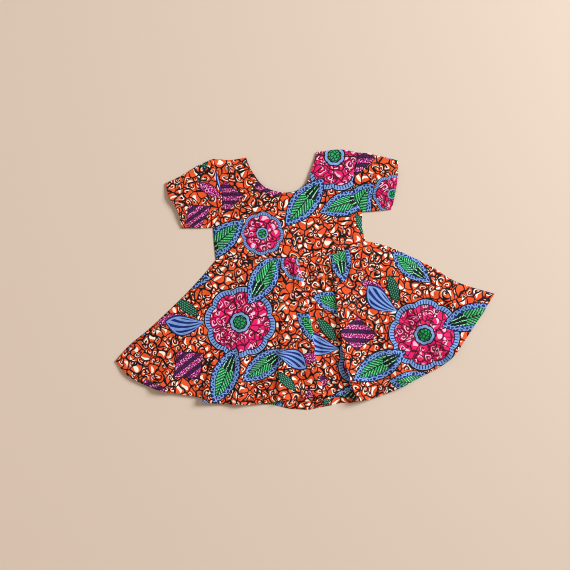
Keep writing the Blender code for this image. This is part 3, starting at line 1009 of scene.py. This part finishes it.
class Value:
    """A shader socket that adds a Math node for each operation that is written on it."""

    def __init__(self, ink, socket):
        self.ink = ink
        self.socket = socket

    def out(self, name):
        """Another output of the same node."""
        return Value(self.ink, self.socket.node.outputs[name])

    def math(self, operation, *others):
        return self.ink.math(operation, self, *others)

    def __add__(self, other):
        return self.math("ADD", other)

    def __radd__(self, other):
        return self.ink.math("ADD", other, self)

    def __sub__(self, other):
        return self.math("SUBTRACT", other)

    def __rsub__(self, other):
        return self.ink.math("SUBTRACT", other, self)

    def __mul__(self, other):
        return self.math("MULTIPLY", other)

    def __rmul__(self, other):
        return self.ink.math("MULTIPLY", other, self)

    def __truediv__(self, other):
        return self.math("DIVIDE", other)

    def __rtruediv__(self, other):
        return self.ink.math("DIVIDE", other, self)

    def __lt__(self, other):
        return self.math("LESS_THAN", other)

    def __gt__(self, other):
        return self.math("GREATER_THAN", other)

    def __abs__(self):
        return self.math("ABSOLUTE")


class Ink:
    """Adds the nodes of one material."""

    def __init__(self, material):
        self.tree = material.node_tree

    def node(self, kind, settings=None, inputs=None, output=0):
        """A node of any type: its settings first, then the values or links of its sockets."""
        node = self.tree.nodes.new(kind)
        for name, value in (settings or {}).items():
            setattr(node, name, value)
        for key, value in (inputs or {}).items():
            if isinstance(value, Value):
                self.tree.links.new(value.socket, node.inputs[key])
            else:
                node.inputs[key].default_value = value
        return Value(self, node.outputs[output])

    def math(self, operation, *values):
        return self.node("ShaderNodeMath", {"operation": operation}, dict(enumerate(values)))

    def vector(self, operation, *values, output="Vector"):
        return self.node("ShaderNodeVectorMath", {"operation": operation}, dict(enumerate(values)), output)

    def blend(self, share, low, high):
        """One number where share is 0, another where it is 1."""
        return self.node("ShaderNodeMix", {"data_type": "FLOAT"}, {0: share, 2: low, 3: high})

    def dye(self, share, under, over):
        """One colour where share is 0, another where it is 1."""
        return self.node("ShaderNodeMix", {"data_type": "RGBA"}, {0: share, 6: under, 7: over}, 2)

    def ease(self, value, low, high):
        """0 at low, 1 at high and an S curve between."""
        settings = {"interpolation_type": "SMOOTHSTEP"}
        return self.node("ShaderNodeMapRange", settings, {"Value": value, "From Min": low, "From Max": high})

    def split(self, vector):
        parts = self.node("ShaderNodeSeparateXYZ", inputs={0: vector})
        return parts, parts.out("Y")

    def noise(self, point, size, detail=2.0, output="Fac"):
        """Cloudy noise with lumps of about this size."""
        inputs = {"Vector": point, "Scale": 1 / size, "Detail": detail}
        return self.node("ShaderNodeTexNoise", {"noise_dimensions": "2D"}, inputs, output)

    def cells(self, point, size, feature, output="Distance"):
        """Irregular cells of about this size."""
        settings = {"voronoi_dimensions": "2D", "feature": feature}
        return self.node("ShaderNodeTexVoronoi", settings, {"Vector": point, "Scale": 1 / size}, output)


class Repeat:
    """The half-drop repeat of the motifs: each column of the print lies half a repeat lower."""

    def __init__(self, ink, point, width, height):
        self.ink = ink
        self.width = width
        self.height = height
        self.slant = height / 2 / width
        x, y = ink.split(point)
        self.sheared = ink.node("ShaderNodeCombineXYZ", inputs={"X": x, "Y": y - x * self.slant})

    def local(self, spot):
        """x and y from the nearest copy of a spot, turned and sized with it."""
        middle = (spot.x, spot.y - spot.x * self.slant, 0.0)
        arm = self.ink.vector("SUBTRACT", self.sheared, middle)
        half = (self.width / 2, self.height / 2, 0.0)
        arm = self.ink.vector("WRAP", arm, half, tuple(-size for size in half))
        cosine = math.cos(math.radians(spot.turn)) / spot.size
        sine = math.sin(math.radians(spot.turn)) / spot.size
        rows = ((cosine + sine * self.slant, sine, 0.0), (cosine * self.slant - sine, cosine, 0.0))
        return tuple(self.ink.vector("DOT_PRODUCT", arm, row, output="Value") for row in rows)

    def nearest(self, spots, measure):
        """x, y, measure and tone of the copy whose measure is least."""
        best = None
        for spot in spots:
            found = (*self.local(spot), spot.tone)
            found = (*found[:2], measure(*found[:2]), found[2])
            if best:
                closer = found[2] < best[2]
                found = tuple(self.ink.blend(closer, *pair) for pair in zip(best, found))
            best = found
        return best


def leaf_measure(length, width):
    """Function that is below 1 inside a leaf with two points, which lies along y."""
    def measure(x, y):
        share = y * (2 / length)
        return abs(x) * (2 / width) + share * share
    return measure


def drop_measure(x, y):
    """Below 1 inside a bent drop, broad at its top."""
    share = y * (2 / DROP_LENGTH)
    bent = abs(x - share * share * DROP_BEND) * (2 / DROP_WIDTH)
    return bent / (share * 0.5 + 1.0).math("MAXIMUM", 0.3) + share * share


def lozenge_measure(x, y):
    """Below 1 inside a lozenge."""
    return abs(x) / LOZENGE_HALF[0] + abs(y) / LOZENGE_HALF[1]


def bloom_measure(x, y):
    """Below 1 inside a round flower with lobes."""
    lobe = abs((y.math("ARCTAN2", x) * (BLOOM_LOBES / 2)).math("COSINE")).math("SQRT")
    reach = (x * x + y * y).math("SQRT")
    return reach / ((lobe * LOBE_DEPTH + (1 - LOBE_DEPTH)) * BLOOM_RADIUS)


def bands(ink, value, colour, *rings):
    """Colours painted over each other where value is past each ring's start."""
    for start, over in rings:
        colour = ink.dye(value > start, colour, over)
    return colour


def ground(ink, point, size, dye):
    """Orange ground: its colour, and masks of its crackle lines and pale drops."""
    drift = ink.vector("SUBTRACT", ink.noise(point, SWAY_SIZE, 0.0, output="Color"), (0.5, 0.5, 0.5))
    swayed = ink.vector("ADD", point, ink.vector("MULTIPLY", drift, (SWAY, SWAY, 0.0)))
    edge = ink.cells(swayed, size, "DISTANCE_TO_EDGE") * size
    cell = ink.cells(swayed, size, "F1")
    lot = ink.node("ShaderNodeSeparateColor", inputs={0: cell.out("Color")})
    lots = (lot, lot.out("Green"), lot.out("Blue"))
    x, y = ink.split(ink.vector("SUBTRACT", swayed, cell.out("Position")))
    reach = (x * x + y * y).math("SQRT")
    stroke = ink.noise(point, 9.0, 0.0) * 1.2 + 0.6
    crackle = 1 - ink.ease(edge, stroke - 0.2, stroke + 0.2)
    phase = (reach / CURL_PITCH - y.math("ARCTAN2", x) / math.tau + lots[1]).math("FRACT")
    curled = lots[0] > 0.3
    curl = (1 - ink.ease(abs(phase - 0.5) * CURL_PITCH, 0.95, 1.25)) * curled * (reach < CURL_REACH)
    lines = crackle.math("MAXIMUM", curl)
    lean = lots[2] * math.tau
    along = x * lean.math("COSINE") + y * lean.math("SINE")
    across = y * lean.math("COSINE") - x * lean.math("SINE") + 2.3
    tear = abs(across - along * along * 0.073) / (along * 0.2 + 1.95).math("MAXIMUM", 0.2)
    drop = tear * tear + along * along * 0.056
    plain = (1 - curled) * (lots[1] > 0.12)
    comma = (phase > 0.66) * (phase < 0.98) * (across > 0.7) * (reach < CURL_REACH) * curled
    pale = ((1 - ink.ease(drop, 1.3, 1.9)) * plain).math("MAXIMUM", comma)
    orange = ink.dye(ink.noise(point, 30.0), dye("orange"), dye("red_orange"))
    colour = ink.dye(pale, orange, dye("cream"))
    return ink.dye(lines, colour, dye("black")), lines, pale


def lozenges(ink, repeat, dye, speckle, rose):
    """Striped lozenges: where they are and their colour."""
    x, y, inside, _ = repeat.nearest(LOZENGES, lozenge_measure)
    stripe = (y / (LOZENGE_HALF[1] / 2)).math("FRACT") > 0.5
    plum = ink.dye(speckle > 0.56, dye("purple"), dye("plum"))
    cloth = ink.dye(stripe, plum, rose)
    return inside < 1.0, bands(ink, inside, cloth, (0.95, dye("black")))


def blooms(ink, repeat, dye, lines, pale, scrolls):
    """Round flowers with a scrolled heart, veins and a ticked border."""
    x, y, inside, _ = repeat.nearest(BLOOMS, bloom_measure)
    turn = y.math("ARCTAN2", x)
    reach = (x * x + y * y).math("SQRT")
    petal = ink.dye(pale, dye("pink"), dye("pale_pink"))
    petal = ink.dye(lines * (1 - pale), petal, dye("crimson"))
    vein = abs((turn * (BLOOM_LOBES / 2)).math("COSINE")) * reach / (BLOOM_LOBES / 2)
    petal = ink.dye((vein < 0.8) * (inside < 0.8), petal, dye("black"))
    heart = ink.dye(scrolls, dye("green"), dye("dark_green"))
    heart = bands(ink, inside, heart, (0.17, dye("black")), (0.2, dye("light_blue")), (0.27, dye("black")))
    ticks = (turn * (BLOOM_TICKS / math.tau)).math("FRACT") < 0.34
    border = ink.dye(ticks * (inside < 0.945), dye("light_blue"), dye("navy"))
    rings = ((0.3, petal), (0.815, dye("black")), (0.84, border), (0.965, dye("black")))
    return inside < 1.0, bands(ink, inside, heart, *rings)


def slivers(ink, repeat, dye, rose):
    """Slim leaves, some dashed in green and some in rose."""
    x, y, inside, tone = repeat.nearest(SLIVERS, leaf_measure(SLIVER_LENGTH, SLIVER_WIDTH))
    column = x / DASH_WIDTH
    row = y / DASH_LENGTH + column.math("FLOOR") * 0.5
    dashes = (row.math("FRACT") < 0.5) * (column.math("FRACT") < 0.5)
    green = ink.dye(dashes, dye("dark_green"), dye("sea_green"))
    return inside < 1.0, bands(ink, inside, ink.dye(tone, green, rose), (0.88, dye("black")))


def leaves(ink, repeat, dye, speckle, scrolls):
    """Broad leaves with slanting ribs, a dark fan at the root and a scrolled rim."""
    x, y, inside, _ = repeat.nearest(LEAVES, leaf_measure(LEAF_LENGTH, LEAF_WIDTH))
    ribs = ((y - abs(x) * RIB_SLOPE) / RIB_PITCH).math("FRACT")
    blade = ink.dye(ribs < 0.45, dye("green"), dye("dark_green"))
    blade = ink.dye((ribs > 0.72) * (speckle > 0.5), blade, dye("pale_green"))
    fan = (x / (y + LEAF_LENGTH * 0.62) * FAN_RIBS).math("SINE")
    root = ink.dye((fan > 0.55) * (speckle > 0.47), dye("near_black"), dye("pale_green"))
    blade = ink.dye(y + abs(x) * 0.6 < LEAF_LENGTH * -0.06, blade, root)
    blade = ink.dye(abs(x) < 0.8, blade, dye("near_black"))
    rim = ink.dye(scrolls, dye("navy"), dye("light_blue"))
    rings = ((0.55, dye("navy")), (0.6, rim), (0.92, dye("near_black")))
    return inside < 1.0, bands(ink, inside, blade, *rings)


def drops(ink, repeat, dye):
    """Bent drops in blue with stripes that fan out."""
    x, y, inside, _ = repeat.nearest(DROPS, drop_measure)
    share = y * (2 / DROP_LENGTH)
    fan = ((x - share * share * DROP_BEND) / (y + DROP_LENGTH * 0.72) * FAN_RIBS).math("SINE")
    stripes = ink.dye(fan > 0.0, dye("navy"), dye("light_blue"))
    rings = ((0.74, dye("light_blue")), (0.86, dye("navy")), (0.95, dye("near_black")))
    return inside < 1.0, bands(ink, inside, stripes, *rings)


def woven(ink, point):
    """Heights of the plain weave and of its thicker threads."""
    x, y = ink.split(point)
    weave = (x * (math.tau / THREAD_PAIR)).math("SINE") * (y * (math.tau / THREAD_PAIR)).math("SINE")
    slub = ink.noise(ink.vector("MULTIPLY", point, (0.12, 1.0, 1.0)), 0.9, 2.0)
    slub += ink.noise(ink.vector("MULTIPLY", point, (1.0, 0.12, 1.0)), 0.9, 2.0)
    return weave, slub


def print_material():
    """The printed cotton of every piece: an orange crackle ground under a half-drop of motifs."""
    name = "printed_cotton"
    material = bpy.data.materials.get(name)
    if material:
        return material
    material = bpy.data.materials.new(name)
    material.use_nodes = True
    dyes = bpy.context.scene.dress_print
    ink = Ink(material)

    def dye(colour):
        return (*getattr(dyes, colour), 1.0)

    uv = ink.node("ShaderNodeUVMap", {"uv_map": "Print"})
    point = ink.vector("MULTIPLY", uv, (1 / MM, 1 / MM, 0.0))
    repeat = Repeat(ink, point, dyes.repeat_width / MM, dyes.repeat_height / MM)
    colour, lines, pale = ground(ink, point, dyes.cell / MM, dye)
    speckle = ink.noise(point, 2.3, 1.0)
    scrolls = ink.cells(point, SCROLL_SIZE, "DISTANCE_TO_EDGE") * SCROLL_SIZE < SCROLL_LINE
    rose = ink.dye(speckle > 0.63, dye("magenta"), dye("pale_pink"))
    rose = ink.dye(speckle < 0.45, rose, dye("purple"))
    motifs = (
        lozenges(ink, repeat, dye, speckle, rose),
        blooms(ink, repeat, dye, lines, pale, scrolls),
        slivers(ink, repeat, dye, rose),
        leaves(ink, repeat, dye, speckle, scrolls),
        drops(ink, repeat, dye),
    )
    for is_inside, printed in motifs:
        colour = ink.dye(is_inside, colour, printed)

    weave, slub = woven(ink, point)
    # Painted shade and uneven tone: the print darkens towards black where the weave and the slubs sink, as
    # the bump lowers them too, and in broad patches of uneven tone.
    weave_shade_and_tone = weave * 0.05 + slub * 0.5 + ink.noise(point, 70.0) * 0.24 + 0.38
    colour = ink.dye(weave_shade_and_tone, (0.0, 0.0, 0.0, 1.0), colour)
    relief = {"Strength": 0.55, "Distance": 0.08 * MM, "Height": weave + slub * 2.2}
    bump = ink.node("ShaderNodeBump", inputs=relief)
    shader = material.node_tree.nodes["Principled BSDF"]
    links = material.node_tree.links
    links.new(colour.socket, shader.inputs["Base Color"])
    links.new((0.82 - lines * 0.1).socket, shader.inputs["Roughness"])
    links.new(bump.socket, shader.inputs["Normal"])
    shader.inputs["Specular IOR Level"].default_value = 0.18
    shader.inputs["Sheen Weight"].default_value = 0.03
    return material


def thread_material():
    """Polyester sewing thread with its twisted plies, their stripes darkened in its colour as painted shade.
    """
    material = bpy.data.materials.get("sewing_thread")
    if material:
        return material
    material = bpy.data.materials.new("sewing_thread")
    material.use_nodes = True
    ink = Ink(material)
    x, y = ink.split(ink.node("ShaderNodeUVMap", {"uv_map": "Print"}))
    twist_and_shade = ((x + y) * (math.tau / (0.5 * MM))).math("SINE")
    dyed = cloth_settings().thread_colour
    # Painted shade: the colour darkens towards 0.4 of the dye in stripes that follow the twisted plies.
    colour = ink.dye((twist_and_shade + 1) * 0.25, (*dyed, 1.0), (*(part * 0.4 for part in dyed), 1.0))
    bump = ink.node("ShaderNodeBump", inputs={"Strength": 0.5, "Distance": 0.05 * MM, "Height": twist_and_shade})
    shader = material.node_tree.nodes["Principled BSDF"]
    material.node_tree.links.new(colour.socket, shader.inputs["Base Color"])
    material.node_tree.links.new(bump.socket, shader.inputs["Normal"])
    shader.inputs["Roughness"].default_value = 0.5
    return material


def floor_material(colour):
    """The matt pale floor."""
    material = bpy.data.materials.new("floor")
    material.use_nodes = True
    shader = material.node_tree.nodes["Principled BSDF"]
    shader.inputs["Base Color"].default_value = (*colour, 1.0)
    shader.inputs["Roughness"].default_value = 0.9
    shader.inputs["Specular IOR Level"].default_value = 0.2
    return material


def dye_property(name, red, green, blue):
    """A dyed colour, from its sRGB values."""
    linear = [((c / 255 + 0.055) / 1.055) ** 2.4 for c in (red, green, blue)]
    return bpy.props.FloatVectorProperty(
        name=name, description=f"{name}, as it is dyed", subtype="COLOR", size=3, min=0.0, max=1.0,
        default=linear)


class PrintSettings(bpy.types.PropertyGroup):
    """Sizes and colours of the print."""

    cell: bpy.props.FloatProperty(
        name="Crackle size", description="Width of one cell of the ground", default=13.0 * MM, min=2 * MM,
        max=50 * MM, precision=4, unit="LENGTH")
    repeat_width: bpy.props.FloatProperty(
        name="Repeat width", description="Sideways repeat of the motifs", default=300 * MM, min=0.1, max=1.0,
        unit="LENGTH")
    repeat_height: bpy.props.FloatProperty(
        name="Repeat height", description="Lengthways repeat of the motifs", default=340 * MM, min=0.1,
        max=1.0, unit="LENGTH")
    orange: dye_property("Orange", 240, 98, 42)
    red_orange: dye_property("Red orange", 226, 68, 32)
    cream: dye_property("Cream", 252, 242, 226)
    black: dye_property("Black", 14, 6, 8)
    pink: dye_property("Pink", 232, 26, 104)
    pale_pink: dye_property("Pale pink", 252, 190, 216)
    crimson: dye_property("Crimson", 92, 6, 36)
    light_blue: dye_property("Light blue", 122, 158, 212)
    navy: dye_property("Navy", 20, 38, 122)
    green: dye_property("Green", 40, 168, 92)
    pale_green: dye_property("Pale green", 150, 232, 170)
    sea_green: dye_property("Sea green", 92, 164, 134)
    dark_green: dye_property("Dark green", 14, 66, 50)
    near_black: dye_property("Green black", 10, 22, 26)
    purple: dye_property("Purple", 48, 14, 52)
    plum: dye_property("Plum", 84, 32, 84)
    magenta: dye_property("Magenta", 196, 40, 132)


class ClothSettings(bpy.types.PropertyGroup):
    """Sizes of the cotton."""

    thickness: bpy.props.FloatProperty(
        name="Cloth thickness", description="Real thickness of the printed cotton",
        default=0.4 * MM, min=0.1 * MM, max=0.9 * MM, precision=5, unit="LENGTH")
    ripple: bpy.props.FloatProperty(
        name="Ripple", description="Height of the washed cotton's unevenness",
        default=0.5 * MM, min=0.0, max=1.0 * MM, precision=5, unit="LENGTH")
    stitch: bpy.props.FloatProperty(
        name="Stitch", description="Length of one stitch and the gap after it",
        default=3.2 * MM, min=1 * MM, max=8 * MM, precision=4, unit="LENGTH")
    thread: bpy.props.FloatProperty(
        name="Thread", description="Thickness of the sewing thread",
        default=0.35 * MM, min=0.1 * MM, max=1.0 * MM, precision=5, unit="LENGTH")
    thread_colour: dye_property("Thread", 196, 78, 40)


class StageSettings(bpy.types.PropertyGroup):
    """Floor, light and camera."""

    floor: bpy.props.FloatVectorProperty(
        name="Floor", description="Colour of the floor", subtype="COLOR", size=3, min=0.0, max=1.0,
        default=(0.68, 0.545, 0.445))
    height: bpy.props.FloatProperty(
        name="Camera height", description="How far above the floor the camera hangs",
        default=1.6, min=0.5, max=5.0, unit="LENGTH")
    span: bpy.props.FloatProperty(
        name="Picture span", description="Width of floor that the picture takes in",
        default=1.026, min=0.2, max=5.0, unit="LENGTH")


class DRESS_OT_bodice(bpy.types.Operator):
    """Sews the front and back of the bodice"""

    bl_idname = "dress.bodice"
    bl_label = "Bodice"

    def execute(self, context):
        bodice("bodice_back", False, print_material())
        bodice("bodice_front", True, print_material())
        return {"FINISHED"}


class DRESS_OT_sleeves(bpy.types.Operator):
    """Sews the two short sleeves"""

    bl_idname = "dress.sleeves"
    bl_label = "Sleeves"

    def execute(self, context):
        sleeve("left", print_material())
        sleeve("right", print_material())
        return {"FINISHED"}


class DRESS_OT_skirt(bpy.types.Operator):
    """Sews the front and back of the skirt"""

    bl_idname = "dress.skirt"
    bl_label = "Skirt"

    def execute(self, context):
        skirt_back(print_material())
        skirt_front(print_material())
        return {"FINISHED"}


class DRESS_OT_stage(bpy.types.Operator):
    """Lays the pale floor, hangs the camera above it and lights them"""

    bl_idname = "dress.stage"
    bl_label = "Floor, camera and light"

    def execute(self, context):
        settings = context.scene.dress_stage
        bm = bmesh.new()
        bmesh.ops.create_grid(bm, x_segments=1, y_segments=1, size=FLOOR_HALF_WIDTH)
        made("floor", bm, floor_material(settings.floor))

        camera = bpy.data.objects.new("camera", bpy.data.cameras.new("camera"))
        camera.data.lens = camera.data.sensor_width * settings.height / settings.span
        camera.location = (*LOOK_AT, settings.height)
        camera.rotation_euler = (0.0, 0.0, math.radians(CAMERA_TURN))
        context.scene.collection.objects.link(camera)
        context.scene.camera = camera

        for lamp in LAMPS:
            light = bpy.data.objects.new(lamp.name, bpy.data.lights.new(lamp.name, lamp.kind))
            if lamp.kind == "SUN":
                light.data.angle = lamp.size
            else:
                light.data.size = lamp.size
            light.data.energy = lamp.power
            light.data.color = lamp.colour
            light.location = lamp.place
            light.rotation_euler = (-Vector(lamp.place)).to_track_quat("-Z", "Y").to_euler()
            context.scene.collection.objects.link(light)
        world = bpy.data.worlds.new("soft_room")
        world.use_nodes = True
        room = world.node_tree.nodes["Background"]
        room.inputs["Color"].default_value = ROOM_COLOUR
        room.inputs["Strength"].default_value = ROOM_STRENGTH
        context.scene.world = world
        context.scene.view_settings.view_transform = "Standard"
        context.scene.cycles.filter_width = 1.0
        return {"FINISHED"}


class DRESS_PT_panel(bpy.types.Panel):
    """Buttons that sew the dress and set its stage"""

    bl_label = "Wax-print dress"
    bl_idname = "DRESS_PT_panel"
    bl_space_type = "VIEW_3D"
    bl_region_type = "UI"
    bl_category = "Dress"

    def draw(self, context):
        for operator in OPERATORS:
            self.layout.operator(operator.bl_idname)
        for settings in (context.scene.dress_cloth, context.scene.dress_print, context.scene.dress_stage):
            for name in settings.bl_rna.properties.keys():
                if name not in {"rna_type", "name"}:
                    self.layout.prop(settings, name)


OPERATORS = (DRESS_OT_skirt, DRESS_OT_bodice, DRESS_OT_sleeves, DRESS_OT_stage)
CLASSES = (ClothSettings, PrintSettings, StageSettings, *OPERATORS, DRESS_PT_panel)


def register():
    for item in CLASSES:
        bpy.utils.register_class(item)
    bpy.types.Scene.dress_cloth = bpy.props.PointerProperty(type=ClothSettings)
    bpy.types.Scene.dress_print = bpy.props.PointerProperty(type=PrintSettings)
    bpy.types.Scene.dress_stage = bpy.props.PointerProperty(type=StageSettings)


def unregister():
    del bpy.types.Scene.dress_stage
    del bpy.types.Scene.dress_print
    del bpy.types.Scene.dress_cloth
    for item in reversed(CLASSES):
        bpy.utils.unregister_class(item)


def main():
    register()
    bpy.ops.dress.skirt()
    bpy.ops.dress.bodice()
    bpy.ops.dress.sleeves()
    bpy.ops.dress.stage()


if __name__ == "__main__":
    main()
